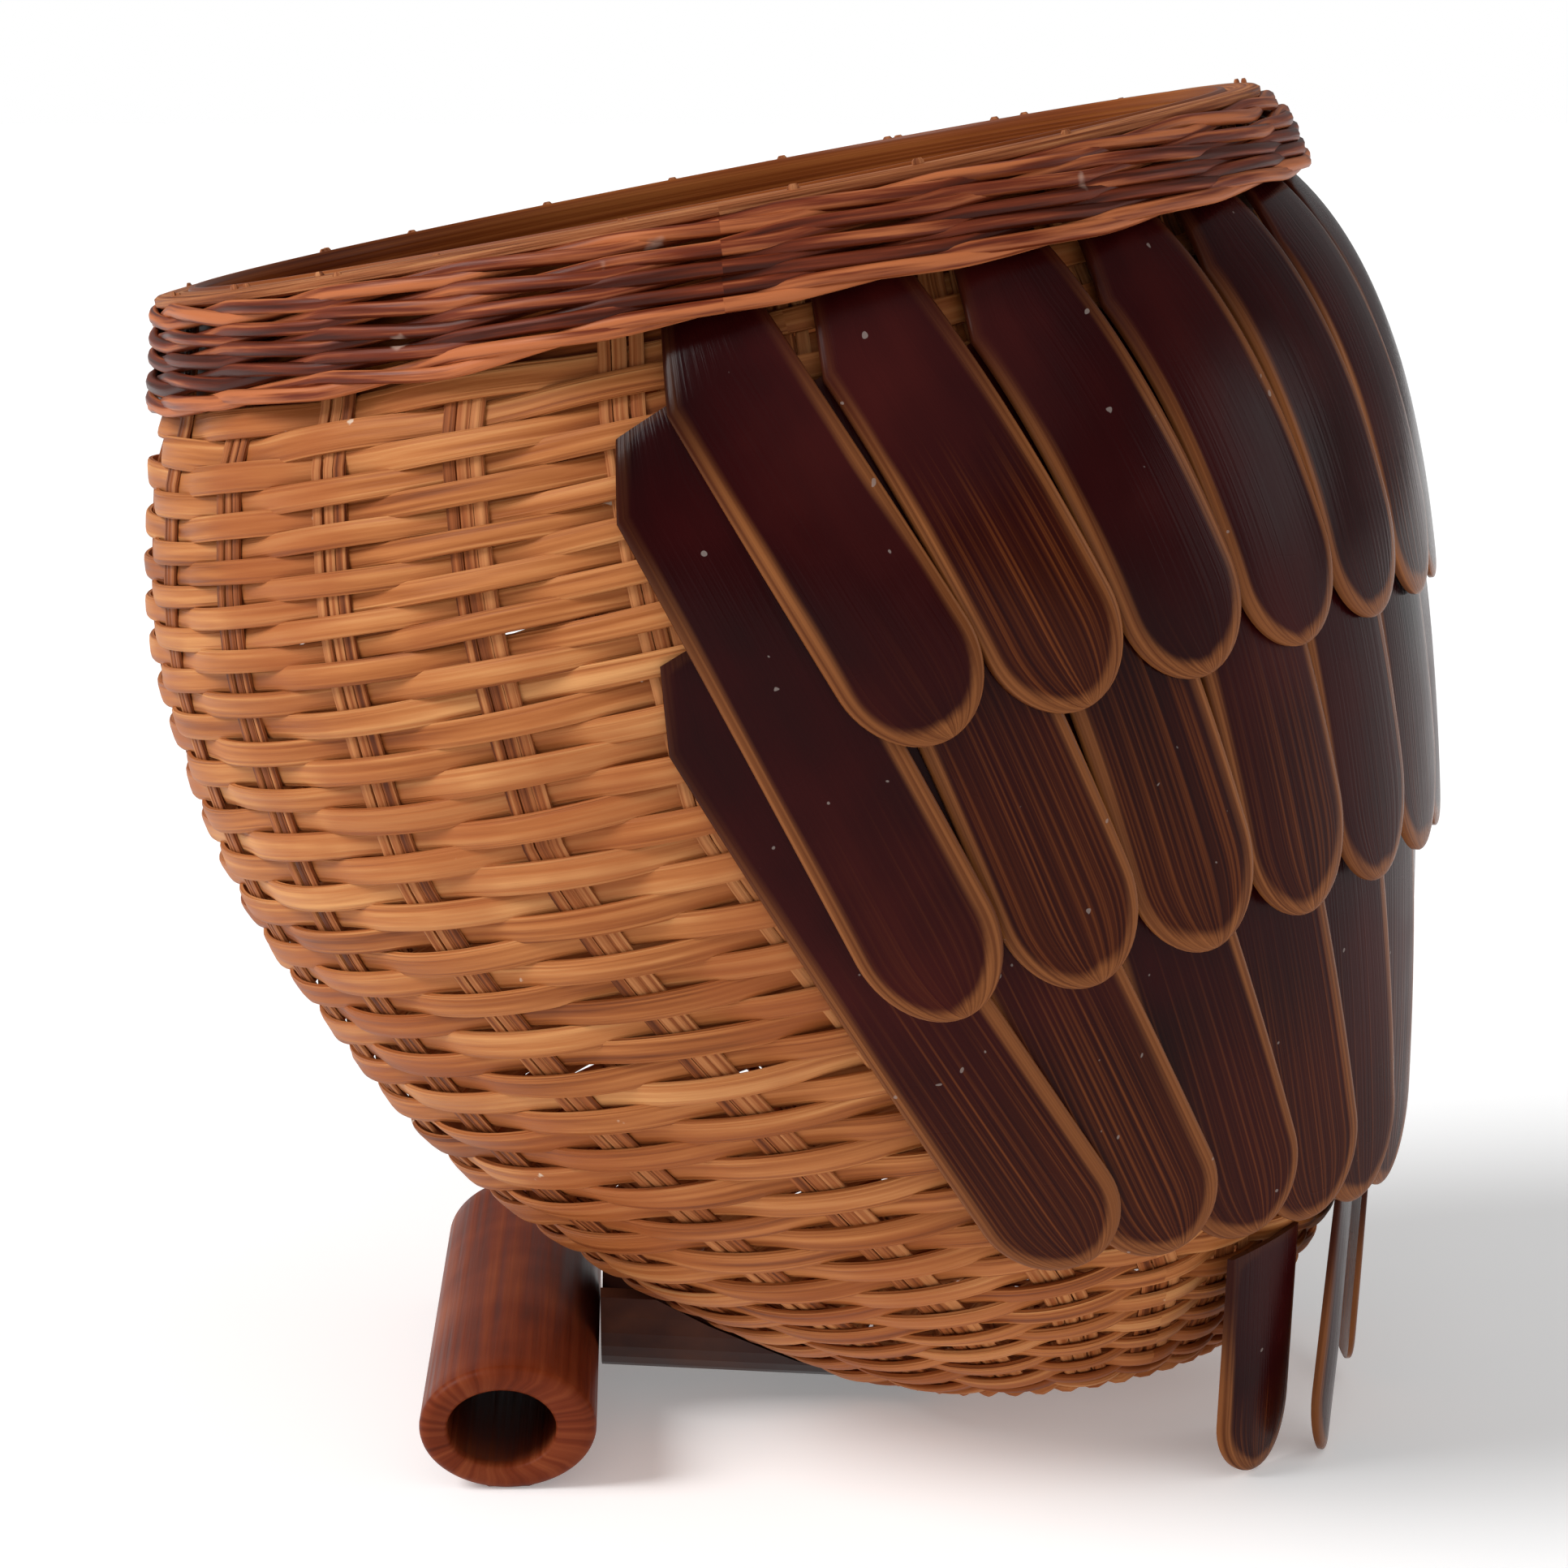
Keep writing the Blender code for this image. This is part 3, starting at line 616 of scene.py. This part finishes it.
def slat_mesh(into, path, normals, top_width, width, cut, crown, roll, tone, mirrored=False):
    """Adds a slat. path and normals hold its place and facing at the top, the middle and the tip."""
    length = np.linalg.norm(path[0] - path[1]) + np.linalg.norm(path[1] - path[2])
    straight = length - width / 2
    downs = np.concatenate([np.linspace(0.0, SLAT_CUT_ALONG, SLAT_CUT_ROWS)[:-1],
                            np.linspace(SLAT_CUT_ALONG, straight, SLAT_ROWS)[:-1]])
    half = (top_width + (width - top_width) * downs / straight) / 2
    fronts = -half + cut * np.maximum(0.0, 1.0 - downs / SLAT_CUT_ALONG)
    rears = half
    tip = np.linspace(0.0, math.radians(SLAT_TIP_SWEEP), SLAT_TIP_ROWS)
    downs = np.concatenate([downs, straight + width / 2 * np.sin(tip)])
    fronts = np.concatenate([fronts, -width / 2 * np.cos(tip)])
    rears = np.concatenate([rears, width / 2 * np.cos(tip)])

    t = downs / length
    place = curve_through(*path, t)
    along = unit(curve_through(*path, t + 0.01) - curve_through(*path, t - 0.01))
    face = curve_through(*normals, t)
    face = unit(face - along * (face * along).sum(axis=1)[:, None])
    sideways = np.cross(face, along)
    shares = slat_profile(width / 2)
    u = (fronts + rears)[:, None] / 2 + (rears - fronts)[:, None] / 2 * shares
    grown = np.minimum(1.0, t / SLAT_ARCHED_BY)[:, None]
    height = grown * (crown * (1.0 - (2.0 * u / width) ** 2) + roll * u) - u * u / (2 * WALL_WIDEST)
    edge = np.minimum(u - fronts[:, None], rears[:, None] - u)
    from_tip = width / 2 - np.hypot(u, np.maximum(0.0, downs - straight)[:, None])
    edge = np.where((downs > straight)[:, None], np.minimum(edge, from_tip), edge)
    edge = np.maximum(np.minimum(edge, downs[:, None] + SLAT_TOP_BORDER), 0.0)
    near = np.clip(1.0 - edge / SLAT_EASE, 0.0, 1.0)
    drop = SLAT_EASE_DROP * (1.0 - np.sqrt(np.maximum(0.0, 1.0 - near**2)))
    under = place[:, None] + sideways[:, None] * u[..., None] + face[:, None] * height[..., None]
    upper = under + face[:, None] * (SLAT_THICKNESS - drop)[..., None]
    if mirrored:
        under, upper = under * (-1, 1, 1), upper * (-1, 1, 1)
    loops = np.concatenate([upper, under[:, ::-1]], axis=1)
    rims = np.concatenate([edge, np.zeros_like(edge)], axis=1)
    if mirrored:
        loops, rims = loops[:, ::-1], rims[:, ::-1]
    places = np.concatenate([u.mean(axis=0), u.mean(axis=0)[::-1], u.mean(axis=0)[:1]])
    down_map = SLAT_MAP_LENGTH * downs / length
    into.grid(loops[:, ::-1], down_map, places[::-1] if mirrored else places, tone, wrap_columns=True,
              edge=rims[:, ::-1])
    for row, first in ((0, True), (len(downs) - 1, False)):
        into.cap(loops[row, ::-1], tone, first)


def slat_names(group, index, middle):
    """The one name of a middle slat, or the left and right names of a pair."""
    return [f"{group}_middle"] if middle else [f"{group}_{side}_{index + 1}" for side in ("left", "right")]


def wing_slat(materials, tier_name, index):
    tier = TIERS[tier_name]
    back = index / SLATS_PER_SIDE
    top_angle = tier["top_angle"] + (90.0 - tier["top_angle"]) * back
    tip_angle = tier["tip_angle"] + (90.0 - tier["tip_angle"]) * back
    front_share, back_share = tier["tip_share"]
    tip_share = front_share + (back_share - front_share) * back
    shares = np.array((tier["top_share"], (tier["top_share"] + tip_share) / 2, tip_share))
    angles = np.array((top_angle, (top_angle + tip_angle) / 2, tip_angle))
    normals = wall_normal(shares, angles)
    middle = index == SLATS_PER_SIDE
    lifts = np.array(tier["lifts"]) - (np.array(MIDDLE_SINK) if middle else 0.0)
    path = wall_point(shares, angles) + normals * lifts[:, None]
    shape = dict(top_width=SLAT_TOP_WIDTH, width=SLAT_WIDTH, cut=SLAT_CUT_ACROSS, crown=tier["crown"],
                 roll=0.0 if middle else tier["roll"])
    tone = RUBBED[tier_name][index]
    names = slat_names(tier_name, index, middle)
    for number, name in enumerate(names):
        slat = Strands()
        slat_mesh(slat, path, normals, tone=tone - RIGHT_LESS_RUBBED * number, mirrored=number == 1, **shape)
        slat.make(name + "_slat", materials["slat"], [name], smooth=SLAT_SMOOTH)


def tail_slat(materials, index):
    top_angle, tip, facing = TAIL_SLATS[index]
    top = wall_point(TAIL_TOP_SHARE, top_angle) + TAIL_TOP_LIFT * wall_normal(TAIL_TOP_SHARE, top_angle)
    tip = np.array(tip)
    face = np.array((math.cos(math.radians(facing)), math.sin(math.radians(facing)), 0.0))
    path = np.stack([top, (top + tip) / 2, tip])
    shape = dict(top_width=TAIL_WIDTH, width=TAIL_WIDTH, cut=0.0, crown=TAIL_CROWN, roll=0.0)
    middle = tip[0] == 0.0
    names = slat_names("tail", index, middle)
    for number, name in enumerate(names):
        slat = Strands()
        tone = RUBBED["tail"][index] - RIGHT_LESS_RUBBED * number
        slat_mesh(slat, path, np.stack([face] * 3), tone=tone, mirrored=number == 1, **shape)
        slat.make(name + "_slat", materials["slat"], [name], smooth=SLAT_SMOOTH)


# ---------------------------------------------------------------- perch

def perch_ring(x, width, height, shift, flat):
    """A ring of the perch, as points (across y, up z); the foot is planed level."""
    turn = 2 * math.pi * (np.arange(PERCH_ROUND) + 0.5) / PERCH_ROUND
    y = width / 2 * np.cos(turn)
    z = height / 2 * np.sin(turn)
    if flat:
        z = np.where((np.abs(y) < PERCH_FLAT_WIDTH / 2) & (z < 0), -PERCH_HEIGHT / 2, z)
    slant = math.tan(math.radians(PERCH_SLANT)) * (1 if x > 0 else -1)
    return np.stack([x + slant * z, PERCH_Y + shift + y, PERCH_HEIGHT / 2 + z], axis=1)


def perch(materials):
    end = PERCH_LENGTH / 2 - PERCH_HEIGHT / 2 * math.tan(math.radians(PERCH_SLANT))
    rings = []
    for x in np.linspace(-end + PERCH_EDGE, end - PERCH_EDGE, PERCH_STATIONS):
        rings.append(perch_ring(x, PERCH_WIDTH, PERCH_HEIGHT, 0.0, True))
    eased = []
    for bend in np.radians(PERCH_EASED_AT):
        inset = PERCH_EDGE * (1 - math.cos(bend))
        eased.append((end - PERCH_EDGE * (1 - math.sin(bend)), inset))
    bored = [
        (end - BORE_EASE * (1 - s), BORE_WIDTH + 2 * BORE_EASE * s, BORE_HEIGHT + 2 * BORE_EASE * s)
        for s in BORE_EASED_AT
    ]
    for x, inset in eased:
        rings.append(perch_ring(x, PERCH_WIDTH - 2 * inset, PERCH_HEIGHT - 2 * inset, 0.0, False))
    for x, width, height in bored:
        rings.append(perch_ring(x, width, height, BORE_SHIFT, False))
    for x in np.linspace(end - BORE_INSET, -end + BORE_INSET, BORE_STATIONS):
        rings.append(perch_ring(x, BORE_WIDTH, BORE_HEIGHT, BORE_SHIFT, False))
    for x, width, height in reversed(bored):
        rings.append(perch_ring(-x, width, height, BORE_SHIFT, False))
    for x, inset in reversed(eased):
        rings.append(perch_ring(-x, PERCH_WIDTH - 2 * inset, PERCH_HEIGHT - 2 * inset, 0.0, False))
    points = np.stack(rings)
    tube = Strands()
    along = np.concatenate([points[:, :, 0].mean(axis=1), points[:1, :, 0].mean(axis=1)])
    around = np.linspace(0.0, math.pi * PERCH_WIDTH, PERCH_ROUND + 1)
    tube.grid(points, along, around, 0.5, wrap_rows=True, wrap_columns=True)
    tube.make("perch_bamboo", materials["bamboo"], ["perch"])


# ---------------------------------------------------------------- materials

class Nodes:
    """A material under construction. Each call adds a node and gives back its output."""

    def __init__(self, name):
        self.material = bpy.data.materials.new(name)
        self.material.use_nodes = True
        self.tree = self.material.node_tree
        self.shader = self.tree.nodes["Principled BSDF"]

    def add(self, kind, inputs=(), **settings):
        node = self.tree.nodes.new(kind)
        for key, value in settings.items():
            setattr(node, key, value)
        for key, value in dict(inputs).items():
            self.feed(node.inputs[key], value)
        return node

    def feed(self, socket, value):
        if isinstance(value, bpy.types.NodeSocket):
            self.tree.links.new(value, socket)
        else:
            socket.default_value = value

    def attribute(self, name):
        return self.add("ShaderNodeAttribute", attribute_name=name).outputs["Fac"]

    def math(self, operation, first, second):
        return self.add("ShaderNodeMath", {0: first, 1: second}, operation=operation).outputs[0]

    def weigh(self, first, weight, second):
        """The weighted mean of two values, of which the first counts for weight."""
        rest = self.math("MULTIPLY", second, 1 - weight)
        return self.math("ADD", self.math("MULTIPLY", first, weight), rest)

    def offset(self, value, other, weight):
        """value, moved by the other value's distance from one half, times weight."""
        return self.math("ADD", value, self.math("MULTIPLY", self.math("SUBTRACT", other, 0.5), weight))

    def roughness(self, noise, low, high):
        return self.span(noise, 0.3, 0.7, low, high)

    def span(self, value, low, high, to_low=0.0, to_high=1.0):
        return self.add("ShaderNodeMapRange", {0: value, 1: low, 2: high, 3: to_low, 4: to_high},
                        interpolation_type="SMOOTHSTEP").outputs[0]

    def mix(self, factor, first, second):
        node = self.add("ShaderNodeMix", data_type="RGBA")
        self.feed(node.inputs[0], factor)
        self.feed(node.inputs[6], first if isinstance(first, bpy.types.NodeSocket) else (*first, 1.0))
        self.feed(node.inputs[7], second if isinstance(second, bpy.types.NodeSocket) else (*second, 1.0))
        return node.outputs[2]

    def ramp(self, value, *stops):
        node = self.add("ShaderNodeValToRGB", {0: value})
        while len(node.color_ramp.elements) < len(stops):
            node.color_ramp.elements.new(0.5)
        for element, (place, colour) in zip(node.color_ramp.elements, stops):
            element.position = place
            element.color = (*colour, 1.0)
        return node.outputs[0]

    def vector(self, operation, first, second):
        return self.add("ShaderNodeVectorMath", {0: first, 1: second}, operation=operation).outputs[0]

    def fibres(self, along, across, detail=4.0, shift=0.0):
        """Noise on the UV map, stretched along it. along and across are repeats a metre."""
        uv = self.add("ShaderNodeUVMap", uv_map="UVMap").outputs[0]
        tone = self.attribute("tone")
        offset = self.add("ShaderNodeCombineXYZ", {0: self.math("MULTIPLY", tone, 37.0 + shift),
                                                   1: self.math("MULTIPLY", tone, 91.0), 2: shift}).outputs[0]
        scaled = self.vector("MULTIPLY", uv, (along, across, 1.0))
        moved = self.vector("ADD", scaled, offset)
        return self.add("ShaderNodeTexNoise", {"Vector": moved, "Scale": 1.0, "Detail": detail}).outputs[0]

    def cloud(self, scale, detail=3.0, shift=0.0):
        """Noise in the object's own space."""
        place = self.add("ShaderNodeTexCoord").outputs["Object"]
        moved = self.vector("ADD", place, (shift, shift, shift))
        return self.add("ShaderNodeTexNoise", {"Vector": moved, "Scale": scale, "Detail": detail}).outputs[0]

    def finish(self, colour, roughness, specular, bump=None, bump_depth=0.0):
        self.feed(self.shader.inputs["Base Color"], colour)
        self.feed(self.shader.inputs["Roughness"], roughness)
        self.shader.inputs["Specular IOR Level"].default_value = specular
        if bump is not None:
            node = self.add("ShaderNodeBump", {"Height": bump, "Distance": bump_depth, "Strength": 1.0})
            self.tree.links.new(node.outputs[0], self.shader.inputs["Normal"])
        return self.material


def weft_material():
    """Weathered rattan: long pale and brown streaks, ruddy patches and a few pale flecks."""
    nodes = Nodes("rattan_weft")
    fine = nodes.fibres(18.0, 1500.0, detail=5.0)
    broad = nodes.fibres(6.0, 350.0, detail=3.0, shift=3.0)
    streak = nodes.offset(nodes.weigh(fine, 0.5, broad), nodes.attribute("tone"), 0.12)
    colour = nodes.ramp(streak, (0.30, (0.11, 0.022, 0.005)), (0.43, (0.31, 0.090, 0.022)),
                        (0.53, (0.46, 0.162, 0.048)), (0.68, (0.66, 0.310, 0.114)))
    patches = nodes.span(nodes.cloud(24.0), 0.42, 0.62)
    colour = nodes.mix(nodes.math("MULTIPLY", patches, 0.5), colour, (0.34, 0.090, 0.024))
    flecks = nodes.span(nodes.cloud(150.0, 3.0, shift=7.0), 0.745, 0.775)
    colour = nodes.mix(nodes.math("MULTIPLY", flecks, 0.7), colour, (0.74, 0.63, 0.50))
    return nodes.finish(colour, nodes.roughness(fine, 0.42, 0.6), specular=0.12, bump=streak,
                        bump_depth=0.0007)


def stake_material():
    """Rattan strips, darker and plainer than the wefts."""
    nodes = Nodes("rattan_stake")
    fine = nodes.fibres(14.0, 1300.0, detail=5.0)
    streak = nodes.offset(fine, nodes.attribute("tone"), 0.2)
    colour = nodes.ramp(streak, (0.32, (0.11, 0.026, 0.007)), (0.48, (0.31, 0.088, 0.024)),
                        (0.66, (0.52, 0.21, 0.075)))
    return nodes.finish(colour, nodes.roughness(fine, 0.5, 0.65), specular=0.12, bump=fine, bump_depth=0.0005)


def reed_material():
    """The rim's red-brown reed, pale where it is worn."""
    nodes = Nodes("rim_reed")
    fine = nodes.fibres(25.0, 900.0, detail=4.0)
    streak = nodes.offset(fine, nodes.attribute("tone"), 0.25)
    colour = nodes.ramp(streak, (0.34, (0.050, 0.007, 0.002)), (0.5, (0.155, 0.026, 0.008)),
                        (0.66, (0.47, 0.140, 0.048)))
    worn = nodes.span(nodes.cloud(90.0, 3.0), 0.70, 0.76)
    colour = nodes.mix(nodes.math("MULTIPLY", worn, 0.5), colour, (0.60, 0.42, 0.33))
    return nodes.finish(colour, nodes.roughness(fine, 0.33, 0.5), specular=0.16, bump=fine, bump_depth=0.0003)


def splint_material():
    """The smooth varnished splint of the inner hoop."""
    nodes = Nodes("rim_splint")
    fine = nodes.fibres(6.0, 1100.0, detail=5.0)
    broad = nodes.cloud(14.0, 2.0)
    streak = nodes.weigh(fine, 0.6, broad)
    colour = nodes.ramp(streak, (0.34, (0.11, 0.020, 0.004)), (0.5, (0.22, 0.052, 0.009)),
                        (0.66, (0.37, 0.115, 0.025)))
    return nodes.finish(colour, nodes.roughness(fine, 0.32, 0.46), specular=0.12, bump=fine,
                        bump_depth=0.00015)


def cane_material():
    """The light flat cane on top of the rim."""
    nodes = Nodes("rim_cane")
    fine = nodes.fibres(30.0, 1600.0, detail=5.0)
    colour = nodes.ramp(fine, (0.34, (0.16, 0.040, 0.012)), (0.5, (0.33, 0.105, 0.036)),
                        (0.68, (0.50, 0.21, 0.085)))
    return nodes.finish(colour, nodes.roughness(fine, 0.45, 0.62), specular=0.12, bump=fine,
                        bump_depth=0.0006)


def slat_material():
    """Dark lacquer over bamboo, bare orange-brown along the edges and rubbed in streaks towards the tip."""
    nodes = Nodes("lacquered_bamboo")
    fine = nodes.fibres(7.0, 1500.0, detail=6.0)
    broad = nodes.fibres(12.0, 90.0, detail=3.0, shift=5.0)
    blotch = nodes.cloud(20.0, 3.0, shift=2.0)
    wear = nodes.attribute("tone")
    edge = nodes.attribute("edge")
    dark = nodes.ramp(nodes.weigh(blotch, 0.7, broad), (0.32, (0.0095, 0.0013, 0.0016)),
                      (0.5, (0.024, 0.0015, 0.0018)),
                      (0.68, (0.044, 0.0040, 0.0034)))
    uv = nodes.add("ShaderNodeUVMap", uv_map="UVMap").outputs[0]
    down = nodes.add("ShaderNodeSeparateXYZ", {0: uv}).outputs[0]
    rubbed = nodes.ramp(fine, (0.34, (0.020, 0.0025, 0.0018)), (0.5, (0.048, 0.008, 0.0022)),
                        (0.70, (0.18, 0.046, 0.010)))
    bare = nodes.ramp(fine, (0.32, (0.110, 0.030, 0.009)), (0.7, (0.30, 0.105, 0.032)))
    ragged = nodes.offset(edge, broad, 0.0042)
    border = nodes.math("MULTIPLY", nodes.span(ragged, 0.0030, 0.0013),
                        nodes.span(down, 0.015, 0.062, 0.10, 0.95))
    reach = nodes.offset(nodes.offset(down, fine, 0.045), wear, 0.050)
    brushed = nodes.math("MULTIPLY", nodes.span(reach, 0.066, 0.108),
                         nodes.span(wear, 0.30, 0.9, 0.15, 0.85))
    colour = nodes.mix(border, nodes.mix(brushed, dark, rubbed), bare)
    specks = nodes.span(nodes.cloud(330.0, 1.0, shift=4.0), 0.785, 0.80)
    colour = nodes.mix(nodes.math("MULTIPLY", specks, 0.45), colour, (0.36, 0.30, 0.27))
    rough = nodes.span(blotch, 0.35, 0.65, 0.17, 0.34)
    return nodes.finish(colour, rough, specular=0.07, bump=fine, bump_depth=0.00010)


def bamboo_material():
    """The stained bamboo of the perch."""
    nodes = Nodes("bamboo_perch")
    fine = nodes.fibres(10.0, 420.0, detail=5.0)
    broad = nodes.cloud(38.0, 3.0)
    streak = nodes.weigh(fine, 0.55, broad)
    colour = nodes.ramp(streak, (0.32, (0.055, 0.008, 0.003)), (0.5, (0.150, 0.026, 0.008)),
                        (0.7, (0.25, 0.060, 0.020)))
    return nodes.finish(colour, nodes.roughness(fine, 0.34, 0.5), specular=0.07, bump=fine, bump_depth=0.0002)


def keel_material():
    """The dark split cane under the belly."""
    nodes = Nodes("keel_cane")
    broad = nodes.cloud(30.0, 4.0)
    colour = nodes.ramp(broad, (0.3, (0.018, 0.005, 0.004)), (0.55, (0.040, 0.012, 0.008)),
                        (0.75, (0.11, 0.034, 0.014)))
    return nodes.finish(colour, nodes.roughness(broad, 0.26, 0.42), specular=0.14, bump=broad,
                        bump_depth=0.0003)


def floor_material():
    """A white floor that glows a little, so that shadows on it stay soft and light."""
    nodes = Nodes("pale_floor")
    cloud = nodes.cloud(0.8, 2.0)
    colour = nodes.ramp(cloud, (0.2, (0.93, 0.93, 0.93)), (0.8, (0.95, 0.95, 0.95)))
    nodes.shader.inputs["Emission Color"].default_value = (1.0, 1.0, 1.0, 1.0)
    nodes.shader.inputs["Emission Strength"].default_value = FLOOR_GLOW
    return nodes.finish(colour, 0.75, specular=0.2)


# ---------------------------------------------------------------- studio

def pale_floor():
    lines = np.linspace(-FLOOR_REACH, FLOOR_REACH, FLOOR_LINES)
    across, along = np.meshgrid(lines, lines, indexing="ij")
    points = np.stack([across, along, np.zeros_like(across)], axis=-1)
    mesh = bpy.data.meshes.new("floor")
    columns = len(lines)
    faces = [(row * columns + column, (row + 1) * columns + column,
              (row + 1) * columns + column + 1, row * columns + column + 1)
             for row in range(columns - 1) for column in range(columns - 1)]
    mesh.from_pydata(points.reshape(-1, 3).tolist(), [], faces)
    mesh.materials.append(floor_material())
    made = bpy.data.objects.new("floor", mesh)
    bpy.context.scene.collection.objects.link(made)


def backdrop_world():
    """A white surround that the camera sees at full strength, and that lights the object at less."""
    world = bpy.data.worlds.new("studio")
    world.use_nodes = True
    backdrop = world.node_tree.nodes["Background"]
    backdrop.inputs[0].default_value = (1.0, 1.0, 1.0, 1.0)
    seen = world.node_tree.nodes.new("ShaderNodeLightPath").outputs["Is Camera Ray"]
    strength = world.node_tree.nodes.new("ShaderNodeMapRange")
    strength.inputs[3].default_value = BACKDROP_LIGHT
    strength.inputs[4].default_value = BACKDROP_SEEN
    world.node_tree.links.new(seen, strength.inputs[0])
    world.node_tree.links.new(strength.outputs[0], backdrop.inputs[1])
    bpy.context.scene.world = world


def studio():
    pale_floor()
    backdrop_world()
    for name, towards, strength, angle in STUDIO_LIGHTS:
        light = bpy.data.lights.new(name, "SUN")
        light.energy = strength
        light.angle = math.radians(angle)
        lamp = bpy.data.objects.new(name, light)
        lamp.rotation_mode = "QUATERNION"
        lamp.rotation_quaternion = (-Vector(towards)).to_track_quat("-Z", "Y")
        bpy.context.scene.collection.objects.link(lamp)
    bpy.context.scene.view_settings.view_transform = "Standard"


def camera():
    level = Vector((*CAMERA_HEADING, 0.0)).normalized()
    down = math.radians(CAMERA_DOWN)
    forward = level * math.cos(down) + Vector((0.0, 0.0, -math.sin(down)))
    right = forward.cross(Vector((0.0, 0.0, 1.0))).normalized()
    up = right.cross(forward)
    data = bpy.data.cameras.new("camera")
    data.lens = CAMERA_LENS
    data.sensor_width = CAMERA_SENSOR
    made = bpy.data.objects.new("camera", data)
    turn = Matrix((right, up, -forward)).transposed().to_4x4()
    made.matrix_world = Matrix.Translation(CAMERA_PLACE) @ turn
    bpy.context.scene.collection.objects.link(made)
    bpy.context.scene.camera = made


def build():
    studio()
    camera()
    materials = dict(
        weft=weft_material(),
        stake=stake_material(),
        reed=reed_material(),
        splint=splint_material(),
        cane=cane_material(),
        slat=slat_material(),
        bamboo=bamboo_material(),
    )
    basket_weave(materials)
    basket_stakes(materials)
    foot_draw = np.random.default_rng(SEED + 2)
    basket_foot(materials, foot_draw)
    floor_weave(materials, foot_draw)
    rim_band(materials)
    rim_hoop(materials)
    rim_cap(materials)
    for tier_name in TIERS:
        for index in range(SLATS_PER_SIDE + 1):
            wing_slat(materials, tier_name, index)
    for index in range(len(TAIL_SLATS)):
        tail_slat(materials, index)
    perch(materials)
    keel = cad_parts["keel"]
    keel.data.materials.clear()
    keel.data.materials.append(keel_material())


build()
